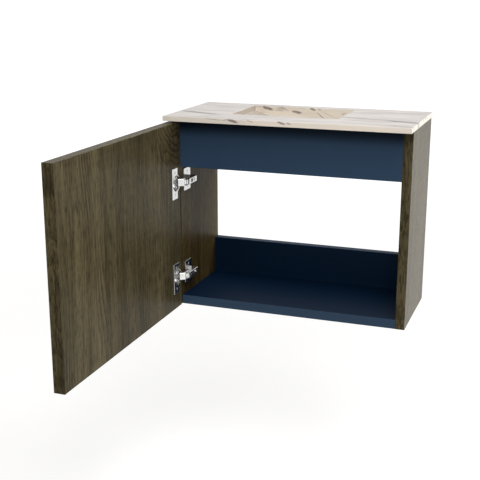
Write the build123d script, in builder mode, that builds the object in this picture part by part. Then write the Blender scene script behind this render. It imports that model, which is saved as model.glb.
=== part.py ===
from build123d import *
import math
import os

os.makedirs("parts", exist_ok=True)

# Wall-hung cloakroom vanity unit, in millimetres: X to the right, Y towards the wall, Z up.
# The origin is on the wall plane, midway between the two wall screws.
# The door is modelled standing open at a right angle, which is the rest position.

# Carcass
carcass_width = 500.0
carcass_height = 400.0
carcass_depth = 212.0
side_thickness = 19.0
bottom_thickness = 19.0
rail_thickness = 18.0
front_rail_height = 100.0
hanging_rail_height = 100.0
low_rail_height = 81.0
edging_thickness = 1.0
edging_round = 0.8

# Wall screws, through the hanging rail
wall_screw_hole_radius = 4.0
wall_screw_spacing = 300.0
wall_screw_drop = 50.0

# Dowels between the sides and what stands between them
dowel_radius = 4.0
dowel_length = 30.0
dowel_depth_in_side = 12.0
dowel_glue_gap = 0.05
dowel_end_gap = 0.5
rail_dowel_inset = 25.0
bottom_dowel_inset = 32.0

# Countertop and the basin bonded under it
countertop_side_overhang = 2.5
countertop_front_overhang = 38.0
countertop_thickness = 10.0
countertop_arris = 0.7
basin_mouth_width = 224.0
basin_left_edge = -131.0
basin_back_margin = 30.0
basin_to_front_rail = 9.0
basin_wall_thickness = 10.0
basin_floor_thickness = 10.0
basin_landing_width = 68.0
basin_ramp_slope = 17.0
waste_hole_radius = 22.5

# Door
door_thickness = 22.0
door_side_reveal = 2.5
door_top_gap = 4.5
door_front_gap = 2.0
door_open_inset = 1.0
door_open_setback = 6.0

# Hinges: their centres below the front rail and above the bottom board
upper_hinge_below_rail = 30.0
lower_hinge_above_bottom = 47.5
hinge_steel = 1.2
hinge_bend_radius = 1.6
pressed_edge_round = 0.5
running_gap = 0.05

# Hinge cup, sunk in the door
cup_radius = 17.4
cup_depth = 12.5
cup_wall = 0.8
cup_base_round = 1.5
cup_bore_gap = 0.1
cup_centre_from_edge = 22.0
cup_pivot_depth = 3.0
cup_pin_radius = 1.25
flange_thickness = 1.2
flange_height = 65.0
flange_front_from_cup = 19.0
flange_back_from_cup = 7.0
flange_shoulder_reach = 17.5
flange_shoulder_height = 36.0
flange_shoulder_tip = 22.0
flange_notch_width = 18.4
cup_notch_depth = 2.0
cup_screw_spacing = 46.0
cup_screw_from_cup = 6.0

# Wood screws of the cups and the mounting plates
wood_screw_head_radius = 3.4
wood_screw_head_height = 1.8
wood_screw_shank_radius = 1.6
wood_screw_length = 13.0
screw_slot_width = 0.9
screw_slot_depth = 0.8
screw_slot_share_of_head = 0.55

# Hinge arm, a channel that opens towards the side panel
arm_standoff = 19.0
arm_drop = 10.0
arm_height = 13.0
arm_back = 41.0
arm_front = 3.0
arm_web_start = 1.0
arm_pivot_from_side = 12.0
arm_pivot_from_front = 7.5
arm_nose_radius = 3.0
arm_pin_radius = 1.4
arm_window_centre = 15.5
arm_window_length = 9.0
arm_window_height = 7.6
arm_slot_centre = 29.0
arm_slot_length = 7.0
arm_slot_height = 4.8
side_screw_centre = 4.5
side_screw_radius = 1.9
side_screw_length = 7.0
lock_screw_radius = 2.2
lock_screw_length = 12.0
lock_screw_head_radius = 3.2
lock_screw_head_height = 1.4

# Links between the arm and the cup. The outer link's ends are outlined in its side view, each
# point as its distance along and across from the pivot at that end.
link_height = 16.0
link_arm_end = ((2.2, 5.2), (-2.2, 2.0), (-2.9, -0.4), (-1.0, -2.8), (1.5, -2.6), (6.0, -0.9))
link_cup_end = ((-5.0, -0.9), (-0.8, -2.6), (1.8, -1.8), (2.6, 0.4), (1.4, 2.4), (-2.6, 5.2))
link_hollow_arm_end = ((2.0, 4.0), (-4.0, 4.0), (-4.0, -4.0))
link_hollow_cup_end = ((4.0, -4.0), (4.0, 1.0), (-2.2, 4.0))
inner_link_half_thickness = 1.2
inner_link_length = 14.0
inner_link_side_gap = 0.7
inner_link_pin_radius = 1.1
inner_pivot_from_arm_pivot = (4.5, 3.0)

# Mounting plate
plate_thickness = 2.0
plate_wing_height = 48.0
plate_wing_length = 34.0
plate_centre_from_front = 30.0
plate_corner_radius = 3.0
plate_screw_spacing = 32.0
plate_block_front = 23.0
plate_block_back = 46.0
plate_block_gap = 0.2
plate_block_top_gap = 2.0

# Derived places
base_z = wall_screw_drop - carcass_height
top_z = base_z + carcass_height
inner_half_width = carcass_width / 2 - side_thickness
front_y = -carcass_depth
bottom_top_z = base_z + bottom_thickness
front_rail_low_z = top_z - front_rail_height
countertop_width = carcass_width + 2 * countertop_side_overhang
countertop_depth = carcass_depth + countertop_front_overhang
basin_right_edge = basin_left_edge + basin_mouth_width
basin_back_y = -basin_back_margin
basin_front_y = front_y + rail_thickness + basin_to_front_rail + basin_wall_thickness
ramp_run = basin_mouth_width - basin_landing_width
ramp_rise = math.tan(math.radians(basin_ramp_slope))
landing_x = basin_left_edge + ramp_run
basin_floor_z = top_z - ramp_run * ramp_rise
basin_underside_z = basin_floor_z - basin_floor_thickness
ramp_outer_x = basin_left_edge - basin_floor_thickness / ramp_rise
waste_x = (landing_x + basin_right_edge) / 2
waste_y = (basin_front_y + basin_back_y) / 2

door_width = carcass_width - 2 * door_side_reveal
door_height = carcass_height - door_top_gap
door_face_x = -inner_half_width + door_open_inset
door_outer_x = door_face_x - door_thickness
door_hinge_y = front_y - door_open_setback
door_free_y = door_hinge_y - door_width

# The swing from open to closed is a quarter turn about one point, the swing centre.
closed_corner = Vector(-carcass_width / 2 + door_side_reveal, front_y - door_front_gap)
open_corner = Vector(door_face_x, door_hinge_y)
swing_x = (open_corner.X + closed_corner.X + open_corner.Y - closed_corner.Y) / 2
swing_centre = Vector(swing_x, swing_x + closed_corner.Y - open_corner.X)

# The arm pivot is chosen; the cup pivot then lies 45 degrees round from it, so that the
# link has one length in both positions.
arm_pivot = Vector(-inner_half_width + arm_pivot_from_side, front_y - arm_pivot_from_front)
to_arm = arm_pivot - swing_centre
arm_bearing = math.degrees(math.atan2(to_arm.Y, to_arm.X))
cup_bearing = math.radians(arm_bearing - 45)
cup_pivot_x = door_face_x - cup_pivot_depth
swing_radius = (cup_pivot_x - swing_centre.X) / math.cos(cup_bearing)
cup_pivot = swing_centre + Vector(math.cos(cup_bearing), math.sin(cup_bearing)) * swing_radius
half_chord = swing_radius * math.sin(math.radians(45))
link_swing = 2 * math.degrees(math.atan(half_chord / (to_arm.length - half_chord)))
link_along = (cup_pivot - arm_pivot).normalized()
link_across = Vector(-link_along.Y, link_along.X)
inner_pivot = arm_pivot + Vector(*inner_pivot_from_arm_pivot)

cup_y = door_hinge_y - cup_centre_from_edge
arm_outer_x = -inner_half_width + arm_standoff
arm_inner_x = arm_outer_x - arm_drop
arm_half = arm_height / 2
arm_inside = arm_half - hinge_steel
arm_back_y = front_y + arm_back
link_half = link_height / 2
link_inside = link_half - hinge_steel
plate_y = front_y + plate_centre_from_front
hinge_levels = {
    "upper": front_rail_low_z - upper_hinge_below_rail,
    "lower": bottom_top_z + lower_hinge_above_bottom,
}

toward_room = Plane(origin=(0, 0, 0), x_dir=(0, 1, 0), z_dir=(1, 0, 0))


def box_between(low, high, mode=Mode.ADD):
    """A square-edged block between two corners, added to or cut from the open part."""
    middle = [(a + b) / 2 for a, b in zip(low, high)]
    size = [b - a for a, b in zip(low, high)]
    with Locations(tuple(middle)):
        Box(*size, mode=mode)


def rod_along_x(x_from, x_to, y, z, radius, mode=Mode.ADD):
    """A round bar along X between two stations."""
    with Locations(((x_from + x_to) / 2, y, z)):
        Cylinder(radius, abs(x_to - x_from), rotation=(0, 90, 0), mode=mode)


def rod_along_z(x, y, z_from, z_to, radius, mode=Mode.ADD):
    """A round bar along Z between two heights."""
    with Locations((x, y, (z_from + z_to) / 2)):
        Cylinder(radius, z_to - z_from, mode=mode)


def countersink(head_x, y, z):
    """The seat that a countersunk screw's head and shank leave in a plate."""
    rod_along_x(head_x, head_x - wood_screw_length, y, z,
                wood_screw_shank_radius + running_gap, Mode.SUBTRACT)
    with Locations(Plane(origin=(head_x, y, z), z_dir=(-1, 0, 0))):
        Cone(
            wood_screw_head_radius + running_gap, wood_screw_shank_radius + running_gap,
            wood_screw_head_height + running_gap,
            align=(Align.CENTER, Align.CENTER, Align.MIN), mode=Mode.SUBTRACT,
        )


def save(piece, node):
    """Name a finished piece and write it."""
    piece.part.label = node
    export_step(piece.part, f"parts/{node}.step")


# Dowel places on a side's inner face, as (y, z): bottom board, front rail and the two rear rails.
bottom_dowel_places = [
    (y, base_z + bottom_thickness / 2)
    for y in (-bottom_dowel_inset, -carcass_depth / 2, front_y + bottom_dowel_inset)
]
rail_middle = rail_thickness / 2
front_rail_dowel_places = [
    (front_y + rail_middle, top_z - rail_dowel_inset),
    (front_y + rail_middle, top_z - front_rail_height + rail_dowel_inset),
]
hanging_rail_dowel_places = [
    (-rail_middle, top_z - rail_dowel_inset),
    (-rail_middle, top_z - hanging_rail_height + rail_dowel_inset),
]
low_rail_dowel_places = [
    (-rail_middle, bottom_top_z + rail_dowel_inset),
    (-rail_middle, bottom_top_z + low_rail_height - rail_dowel_inset),
]
dowel_places = (
    bottom_dowel_places
    + front_rail_dowel_places
    + hanging_rail_dowel_places
    + low_rail_dowel_places
)
dowel_hole_radius = dowel_radius + dowel_glue_gap
side_hole_depth = dowel_depth_in_side + dowel_end_gap
board_hole_depth = dowel_length - dowel_depth_in_side + dowel_end_gap


def cut_dowel_holes(places, hand, depth):
    """Blind dowel holes from a side's inner face, hand -1 left and +1 right; depth > 0 outwards."""
    start = hand * inner_half_width
    for y, z in places:
        rod_along_x(start, start + hand * depth, y, z, dowel_hole_radius, Mode.SUBTRACT)


plate_screw_places = [
    (plate_y, hinge_z + offset)
    for hinge_z in hinge_levels.values()
    for offset in (-plate_screw_spacing / 2, plate_screw_spacing / 2)
]

# Side panels, with the mounting plates' screw holes in the left one
side_front_y = front_y + edging_thickness
for side, hand in (("left", -1), ("right", 1)):
    with BuildPart() as side_panel:
        edges = sorted((hand * inner_half_width, hand * carcass_width / 2))
        box_between((edges[0], side_front_y, base_z), (edges[1], 0, top_z))
        cut_dowel_holes(dowel_places, hand, side_hole_depth)
        if side == "left":
            for y, z in plate_screw_places:
                hole_end = -inner_half_width - wood_screw_length
                rod_along_x(
                    -inner_half_width, hole_end, y, z,
                    wood_screw_shank_radius + running_gap, Mode.SUBTRACT,
                )
    save(side_panel, f"side_panel_{side}")

    with BuildPart() as side_edging:
        box_between((edges[0], front_y, base_z), (edges[1], side_front_y, top_z))
        front_face = side_edging.faces().sort_by(Axis.Y)[0]
        fillet(front_face.edges().filter_by(Axis.Z), edging_round)
    save(side_edging, f"side_panel_{side}_edging")

    with BuildPart() as dowels:
        for y, z in dowel_places:
            outer_end = hand * (inner_half_width + dowel_depth_in_side)
            rod_along_x(outer_end - hand * dowel_length, outer_end, y, z, dowel_radius)
    save(dowels, f"dowels_{side}")

# Bottom board and rails between the sides
with BuildPart() as bottom_panel:
    box_between(
        (-inner_half_width, side_front_y, base_z), (inner_half_width, 0, bottom_top_z)
    )
    for hand in (-1, 1):
        cut_dowel_holes(bottom_dowel_places, hand, -board_hole_depth)
save(bottom_panel, "bottom_panel")

with BuildPart() as bottom_panel_edging:
    box_between(
        (-inner_half_width, front_y, base_z),
        (inner_half_width, side_front_y, bottom_top_z),
    )
    front_face = bottom_panel_edging.faces().sort_by(Axis.Y)[0]
    fillet(front_face.edges().filter_by(Axis.X), edging_round)
save(bottom_panel_edging, "bottom_panel_edging")

with BuildPart() as front_rail:
    box_between(
        (-inner_half_width, front_y, front_rail_low_z + edging_thickness),
        (inner_half_width, front_y + rail_thickness, top_z),
    )
    for hand in (-1, 1):
        cut_dowel_holes(front_rail_dowel_places, hand, -board_hole_depth)
save(front_rail, "front_rail")

with BuildPart() as front_rail_edging:
    box_between(
        (-inner_half_width, front_y, front_rail_low_z),
        (inner_half_width, front_y + rail_thickness, front_rail_low_z + edging_thickness),
    )
    lower_face = front_rail_edging.faces().sort_by(Axis.Z)[0]
    fillet(lower_face.edges().filter_by(Axis.X), edging_round)
save(front_rail_edging, "front_rail_edging")

with BuildPart() as hanging_rail:
    box_between(
        (-inner_half_width, -rail_thickness, top_z - hanging_rail_height),
        (inner_half_width, 0, top_z),
    )
    for hand in (-1, 1):
        cut_dowel_holes(hanging_rail_dowel_places, hand, -board_hole_depth)
    with Locations((0, -rail_thickness / 2, 0)):
        with GridLocations(wall_screw_spacing, 1, 2, 1):
            Cylinder(
                wall_screw_hole_radius, rail_thickness, rotation=(90, 0, 0), mode=Mode.SUBTRACT
            )
save(hanging_rail, "hanging_rail")

low_rail_top_z = bottom_top_z + low_rail_height
with BuildPart() as low_rail:
    box_between(
        (-inner_half_width, -rail_thickness, bottom_top_z),
        (inner_half_width, 0, low_rail_top_z - edging_thickness),
    )
    for hand in (-1, 1):
        cut_dowel_holes(low_rail_dowel_places, hand, -board_hole_depth)
save(low_rail, "low_rail")

with BuildPart() as low_rail_edging:
    box_between(
        (-inner_half_width, -rail_thickness, low_rail_top_z - edging_thickness),
        (inner_half_width, 0, low_rail_top_z),
    )
    upper_face = low_rail_edging.faces().sort_by(Axis.Z)[-1]
    fillet(upper_face.edges().filter_by(Axis.X), edging_round)
save(low_rail_edging, "low_rail_edging")

# Countertop slab with the basin mouth cut through it
with BuildPart() as countertop:
    box_between(
        (-countertop_width / 2, -countertop_depth, top_z),
        (countertop_width / 2, 0, top_z + countertop_thickness),
    )
    box_between(
        (basin_left_edge, basin_front_y, top_z),
        (basin_right_edge, basin_back_y, top_z + countertop_thickness),
        Mode.SUBTRACT,
    )
    upper_face = countertop.faces().sort_by(Axis.Z)[-1]
    fillet(upper_face.edges(), countertop_arris)
save(countertop, "countertop")

# Basin pieces: long walls front and back, an end wall, a sloping ramp and a level floor
basin_outer_x = basin_right_edge + basin_wall_thickness
wall_outline = [
    (ramp_outer_x, top_z),
    (landing_x, basin_underside_z),
    (basin_outer_x, basin_underside_z),
    (basin_outer_x, top_z),
]
for place, wall_y in (
    ("front", basin_front_y),
    ("back", basin_back_y + basin_wall_thickness),
):
    with BuildPart() as basin_wall:
        with BuildSketch(Plane.XZ.offset(-wall_y)):
            with BuildLine():
                Polyline(*wall_outline, close=True)
            make_face()
        extrude(amount=basin_wall_thickness)
    save(basin_wall, f"basin_{place}_wall")

with BuildPart() as basin_end_wall:
    box_between(
        (basin_right_edge, basin_front_y, basin_underside_z),
        (basin_outer_x, basin_back_y, top_z),
    )
save(basin_end_wall, "basin_end_wall")

with BuildPart() as basin_ramp:
    with BuildSketch(Plane.XZ.offset(-basin_back_y)):
        with BuildLine():
            Polyline(
                (ramp_outer_x, top_z),
                (basin_left_edge, top_z),
                (landing_x, basin_floor_z),
                (landing_x, basin_underside_z),
                close=True,
            )
        make_face()
    extrude(amount=basin_back_y - basin_front_y)
save(basin_ramp, "basin_ramp")

with BuildPart() as basin_floor:
    box_between(
        (landing_x, basin_front_y, basin_underside_z),
        (basin_right_edge, basin_back_y, basin_floor_z),
    )
    rod_along_z(
        waste_x, waste_y, basin_underside_z, basin_floor_z, waste_hole_radius, Mode.SUBTRACT
    )
save(basin_floor, "basin_floor")

# Door, standing open at a right angle, with its cup bores
door_core_free_y = door_free_y + edging_thickness
door_core_hinge_y = door_hinge_y - edging_thickness
door_bottom_z = base_z
door_top_z = base_z + door_height
cup_screw_y = cup_y - cup_screw_from_cup
cup_bore_depth = cup_depth + cup_bore_gap
with BuildPart() as door_panel:
    box_between(
        (door_outer_x, door_core_free_y, door_bottom_z + edging_thickness),
        (door_face_x, door_core_hinge_y, door_top_z - edging_thickness),
    )
    for hinge_z in hinge_levels.values():
        rod_along_x(
            door_face_x, door_face_x - cup_bore_depth, cup_y, hinge_z,
            cup_radius + cup_bore_gap, Mode.SUBTRACT,
        )
        for offset in (-cup_screw_spacing / 2, cup_screw_spacing / 2):
            countersink(door_face_x + flange_thickness, cup_screw_y, hinge_z + offset)
save(door_panel, "door_panel")

door_edging_boxes = {
    "free_side": ((door_free_y, door_bottom_z), (door_core_free_y, door_top_z)),
    "hinge_side": ((door_core_hinge_y, door_bottom_z), (door_hinge_y, door_top_z)),
    "bottom": (
        (door_core_free_y, door_bottom_z),
        (door_core_hinge_y, door_bottom_z + edging_thickness),
    ),
    "top": (
        (door_core_free_y, door_top_z - edging_thickness),
        (door_core_hinge_y, door_top_z),
    ),
}
outward = {"free_side": -Axis.Y, "hinge_side": Axis.Y, "bottom": -Axis.Z, "top": Axis.Z}
for place, (low, high) in door_edging_boxes.items():
    with BuildPart() as door_edging:
        box_between((door_outer_x, *low), (door_face_x, *high))
        outer_face = door_edging.faces().sort_by(outward[place])[-1]
        long_edges = outer_face.edges().sort_by(SortBy.LENGTH)[-2:]
        fillet(long_edges, edging_round)
    save(door_edging, f"door_edging_{place}")


def link_outline(arm_end, cup_end):
    """The places in plan of an outline given round the arm pivot and then round the cup pivot."""
    places = []
    for pivot, end in ((arm_pivot, arm_end), (cup_pivot, cup_end)):
        for along, across in end:
            places.append(pivot + link_along * along + link_across * across)
    return places


def wood_screw(head_x, y, z):
    """A countersunk wood screw driven along -X, with a cross slot in its head."""
    rod_along_x(head_x - wood_screw_head_height, head_x - wood_screw_length, y, z,
                wood_screw_shank_radius)
    with Locations(Plane(origin=(head_x, y, z), z_dir=(-1, 0, 0))):
        Cone(
            wood_screw_head_radius, wood_screw_shank_radius, wood_screw_head_height,
            align=(Align.CENTER, Align.CENTER, Align.MIN),
        )
    cut_cross_slot(head_x, y, z, wood_screw_head_radius)


def cut_cross_slot(head_x, y, z, head_radius):
    """A cross slot cut into a screw head that faces +X."""
    reach = head_radius * screw_slot_share_of_head
    half = screw_slot_width / 2
    for dy, dz in ((reach, half), (half, reach)):
        box_between(
            (head_x - screw_slot_depth, y - dy, z - dz), (head_x, y + dy, z + dz), Mode.SUBTRACT
        )


for level, hinge_z in hinge_levels.items():
    flange_x = door_face_x + flange_thickness
    cup_inner_radius = cup_radius - cup_wall
    half_flange = flange_height / 2
    flange_back_y = cup_y + flange_back_from_cup
    shoulder_y = cup_y + flange_shoulder_reach

    # Pressed cup with its flange on the door's inner face
    with BuildPart() as hinge_cup:
        rod_along_x(door_face_x, door_face_x - cup_depth, cup_y, hinge_z, cup_radius)
        cup_base = hinge_cup.faces().sort_by(Axis.X)[0]
        fillet(cup_base.edges(), cup_base_round)
        with BuildSketch(toward_room.offset(door_face_x)):
            with BuildLine():
                Polyline(
                    (cup_y - flange_front_from_cup, hinge_z - half_flange),
                    (flange_back_y, hinge_z - half_flange),
                    (flange_back_y, hinge_z - flange_shoulder_height / 2),
                    (shoulder_y, hinge_z - flange_shoulder_tip / 2),
                    (shoulder_y, hinge_z + flange_shoulder_tip / 2),
                    (flange_back_y, hinge_z + flange_shoulder_height / 2),
                    (flange_back_y, hinge_z + half_flange),
                    (cup_y - flange_front_from_cup, hinge_z + half_flange),
                    close=True,
                )
            make_face()
        extrude(amount=flange_thickness)
        flange_front = hinge_cup.faces().sort_by(Axis.X)[-1]
        fillet(flange_front.edges(), pressed_edge_round)
        rod_along_x(
            flange_x, door_face_x - cup_depth + cup_wall, cup_y, hinge_z, cup_inner_radius,
            Mode.SUBTRACT,
        )
        box_between(
            (door_face_x - cup_notch_depth, cup_y, hinge_z - flange_notch_width / 2),
            (flange_x, shoulder_y, hinge_z + flange_notch_width / 2),
            Mode.SUBTRACT,
        )
        for offset in (-cup_screw_spacing / 2, cup_screw_spacing / 2):
            countersink(flange_x, cup_screw_y, hinge_z + offset)
        cup_pin_reach = math.sqrt(cup_radius**2 - (cup_pivot.Y - cup_y) ** 2)
        rod_along_z(
            cup_pivot.X, cup_pivot.Y, hinge_z - cup_pin_reach, hinge_z + cup_pin_reach,
            cup_pin_radius + running_gap, Mode.SUBTRACT,
        )
    save(hinge_cup, f"{level}_hinge_cup")

    with BuildPart() as cup_screws:
        for offset in (-cup_screw_spacing / 2, cup_screw_spacing / 2):
            wood_screw(flange_x, cup_screw_y, hinge_z + offset)
    save(cup_screws, f"{level}_hinge_cup_screws")

    cup_pin_offset = cup_pivot.Y - cup_y + cup_pin_radius
    cup_pin_half = math.sqrt((cup_radius - cup_wall / 2) ** 2 - cup_pin_offset**2)
    with BuildPart() as cup_pin:
        rod_along_z(
            cup_pivot.X, cup_pivot.Y, hinge_z - cup_pin_half, hinge_z + cup_pin_half,
            cup_pin_radius,
        )
    save(cup_pin, f"{level}_hinge_cup_pin")

    # Arm: cheeks with a nose at the front, joined by a web that faces into the cabinet
    with BuildPart() as hinge_arm:
        with BuildSketch(Plane.XY.offset(hinge_z - arm_half)):
            with BuildLine():
                Polyline(
                    (arm_inner_x, arm_back_y),
                    (arm_inner_x, front_y + arm_front),
                    (arm_pivot.X - arm_nose_radius, arm_pivot.Y),
                    (arm_pivot.X - arm_nose_radius / 2, arm_pivot.Y - arm_nose_radius),
                    (arm_pivot.X + arm_nose_radius, arm_pivot.Y - arm_nose_radius),
                    (arm_outer_x, front_y - arm_front),
                    (arm_outer_x, arm_back_y),
                    close=True,
                )
            make_face()
        extrude(amount=arm_height)
        fillet(hinge_arm.edges().filter_by(Axis.Y).group_by(Axis.X)[-1], hinge_bend_radius)
        box_between(
            (arm_inner_x - arm_nose_radius, arm_pivot.Y - 2 * arm_nose_radius,
             hinge_z - arm_inside),
            (arm_outer_x - hinge_steel, arm_back_y, hinge_z + arm_inside),
            Mode.SUBTRACT,
        )
        box_between(
            (arm_outer_x - hinge_steel, arm_pivot.Y - 2 * arm_nose_radius,
             hinge_z - arm_inside),
            (arm_outer_x, front_y + arm_web_start, hinge_z + arm_inside),
            Mode.SUBTRACT,
        )
        window_y = front_y + arm_window_centre
        box_between(
            (arm_outer_x - hinge_steel, window_y - arm_window_length / 2,
             hinge_z - arm_window_height / 2),
            (arm_outer_x, window_y + arm_window_length / 2, hinge_z + arm_window_height / 2),
            Mode.SUBTRACT,
        )
        slot_y = front_y + arm_slot_centre
        with BuildSketch(toward_room.offset(arm_outer_x)):
            with Locations((slot_y, hinge_z)):
                SlotOverall(arm_slot_length, arm_slot_height)
        extrude(amount=-hinge_steel, mode=Mode.SUBTRACT)
        rod_along_x(
            arm_outer_x, arm_outer_x - hinge_steel, front_y + side_screw_centre, hinge_z,
            side_screw_radius + running_gap, Mode.SUBTRACT,
        )
        for pivot, radius in (
            (arm_pivot, arm_pin_radius),
            (inner_pivot, inner_link_pin_radius),
        ):
            rod_along_z(
                pivot.X, pivot.Y, hinge_z - arm_half, hinge_z + arm_half,
                radius + running_gap, Mode.SUBTRACT,
            )
    save(hinge_arm, f"{level}_hinge_arm")

    # Outer link: two cheeks outside the arm's, joined by a web on the room side
    with BuildPart() as outer_link:
        with BuildSketch(Plane.XY.offset(hinge_z - link_half)):
            with BuildLine():
                Polyline(*link_outline(link_arm_end, link_cup_end), close=True)
            make_face()
        extrude(amount=link_height)
        web_middle = (arm_pivot + cup_pivot) / 2 + link_across * link_arm_end[0][1]
        for end in (-1, 1):
            bend = Vector(web_middle.X, web_middle.Y, hinge_z + end * link_half)
            fillet(outer_link.edges().sort_by_distance(bend)[0], hinge_bend_radius)
        with BuildSketch(Plane.XY.offset(hinge_z - link_inside)):
            with BuildLine():
                Polyline(*link_outline(link_hollow_arm_end, link_hollow_cup_end), close=True)
            make_face()
        extrude(amount=2 * link_inside, mode=Mode.SUBTRACT)
        for pivot, radius in ((arm_pivot, arm_pin_radius), (cup_pivot, cup_pin_radius)):
            rod_along_z(
                pivot.X, pivot.Y, hinge_z - link_half, hinge_z + link_half,
                radius + running_gap, Mode.SUBTRACT,
            )
    save(outer_link, f"{level}_hinge_outer_link")

    # A short rivet each side joins the outer link to the arm, clear of the inner link
    with BuildPart() as arm_rivets:
        for end in (-1, 1):
            rivet_ends = sorted((end * arm_inside, end * link_half))
            rod_along_z(
                arm_pivot.X, arm_pivot.Y, hinge_z + rivet_ends[0], hinge_z + rivet_ends[1],
                arm_pin_radius,
            )
    save(arm_rivets, f"{level}_hinge_arm_rivets")

    # Inner link: a narrow bar between the arm's cheeks, free at its cup end
    inner_half_height = arm_inside - inner_link_side_gap
    inner_end = inner_pivot + link_along * inner_link_length
    side_step = link_across * inner_link_half_thickness
    with BuildPart() as inner_link:
        with BuildSketch(Plane.XY.offset(hinge_z - inner_half_height)):
            with BuildLine():
                Polyline(
                    inner_pivot + side_step,
                    inner_end + side_step,
                    inner_end - side_step,
                    inner_pivot - side_step,
                    close=True,
                )
            make_face()
            with Locations((inner_pivot.X, inner_pivot.Y)):
                Circle(inner_link_pin_radius + hinge_steel)
            with Locations((inner_end.X, inner_end.Y)):
                Circle(inner_link_half_thickness)
        extrude(amount=2 * inner_half_height)
        rod_along_z(
            inner_pivot.X, inner_pivot.Y, hinge_z - inner_half_height,
            hinge_z + inner_half_height, inner_link_pin_radius + running_gap, Mode.SUBTRACT,
        )
    save(inner_link, f"{level}_hinge_inner_link")

    with BuildPart() as inner_link_pin:
        rod_along_z(
            inner_pivot.X, inner_pivot.Y, hinge_z - arm_half, hinge_z + arm_half,
            inner_link_pin_radius,
        )
    save(inner_link_pin, f"{level}_hinge_inner_link_pin")

    # Mounting plate: two wings on the side panel and a block that fills the arm
    block_top_x = arm_outer_x - hinge_steel - plate_block_top_gap
    plate_x = -inner_half_width
    block_half = arm_inside - plate_block_gap
    with BuildPart() as mounting_plate:
        with BuildSketch(toward_room.offset(plate_x)):
            with Locations((plate_y, hinge_z)):
                RectangleRounded(plate_wing_length, plate_wing_height, plate_corner_radius)
        extrude(amount=plate_thickness)
        fillet(mounting_plate.faces().sort_by(Axis.X)[-1].edges(), pressed_edge_round)
        box_between(
            (plate_x, front_y + plate_block_front, hinge_z - block_half),
            (block_top_x, front_y + plate_block_back, hinge_z + block_half),
        )
        rod_along_x(
            block_top_x, block_top_x - lock_screw_length, slot_y, hinge_z,
            lock_screw_radius + running_gap, Mode.SUBTRACT,
        )
        for offset in (-plate_screw_spacing / 2, plate_screw_spacing / 2):
            countersink(plate_x + plate_thickness, plate_y, hinge_z + offset)
    save(mounting_plate, f"{level}_mounting_plate")

    with BuildPart() as plate_screws:
        for offset in (-plate_screw_spacing / 2, plate_screw_spacing / 2):
            wood_screw(plate_x + plate_thickness, plate_y, hinge_z + offset)
    save(plate_screws, f"{level}_mounting_plate_screws")

    with BuildPart() as lock_screw:
        rod_along_x(arm_outer_x, arm_outer_x - lock_screw_length, slot_y, hinge_z,
                    lock_screw_radius)
        rod_along_x(arm_outer_x, arm_outer_x + lock_screw_head_height, slot_y, hinge_z,
                    lock_screw_head_radius)
        fillet(lock_screw.faces().sort_by(Axis.X)[-1].edges(), pressed_edge_round)
        cut_cross_slot(
            arm_outer_x + lock_screw_head_height, slot_y, hinge_z, lock_screw_head_radius
        )
    save(lock_screw, f"{level}_hinge_lock_screw")

    with BuildPart() as side_screw:
        screw_y = front_y + side_screw_centre
        rod_along_x(arm_outer_x, arm_outer_x - side_screw_length, screw_y, hinge_z,
                    side_screw_radius)
        cut_cross_slot(arm_outer_x, screw_y, hinge_z, side_screw_radius)
    save(side_screw, f"{level}_hinge_side_screw")

print("arm pivot", round(arm_pivot.X, 4), round(arm_pivot.Y, 4))
print("cup pivot", round(cup_pivot.X, 4), round(cup_pivot.Y, 4))
print("inner pivot", round(inner_pivot.X, 4), round(inner_pivot.Y, 4))
print("link swing for a quarter turn of the door", round(link_swing, 4))
print("basin floor", round(basin_floor_z, 3), "waste", round(waste_x, 3), round(waste_y, 3))
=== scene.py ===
"""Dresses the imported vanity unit: oak-look boards, navy rails, a marble slab, nickel hinges."""

import logging
import math
from dataclasses import dataclass, field
from enum import Enum
from typing import Dict, List, Optional, Sequence, Tuple, Union

import bpy
import numpy as np
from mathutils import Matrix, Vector


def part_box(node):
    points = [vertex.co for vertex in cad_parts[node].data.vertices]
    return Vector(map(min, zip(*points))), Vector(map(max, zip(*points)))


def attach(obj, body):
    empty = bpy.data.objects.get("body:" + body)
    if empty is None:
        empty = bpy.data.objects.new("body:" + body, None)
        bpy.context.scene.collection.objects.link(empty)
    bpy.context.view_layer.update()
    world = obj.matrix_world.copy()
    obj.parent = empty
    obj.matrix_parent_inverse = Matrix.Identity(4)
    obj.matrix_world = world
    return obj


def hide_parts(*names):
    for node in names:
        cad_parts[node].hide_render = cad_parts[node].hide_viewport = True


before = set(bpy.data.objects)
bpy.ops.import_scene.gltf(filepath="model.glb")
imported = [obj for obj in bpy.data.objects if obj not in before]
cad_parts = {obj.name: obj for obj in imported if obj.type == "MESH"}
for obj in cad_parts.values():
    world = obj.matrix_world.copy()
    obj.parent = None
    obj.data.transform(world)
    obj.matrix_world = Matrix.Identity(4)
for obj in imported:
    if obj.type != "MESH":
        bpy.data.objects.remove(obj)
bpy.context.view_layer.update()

log = logging.getLogger("vanity")

Colour = Tuple[float, float, float]
Triple = Tuple[float, float, float]
MILLIMETRE = 0.001

# The standard curve between display values and linear light.
CURVE_KNEE, CURVE_SLOPE, CURVE_OFFSET, CURVE_POWER = 0.04045, 12.92, 0.055, 2.4

# The colour sockets of a Mix node that is set to RGBA.
MIX_FIRST_INPUT, MIX_SECOND_INPUT, MIX_OUTPUT = 6, 7, 2

# Edges of the new pieces that turn by more than this stay sharp.
SHARP_EDGE = math.radians(32.0)


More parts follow.
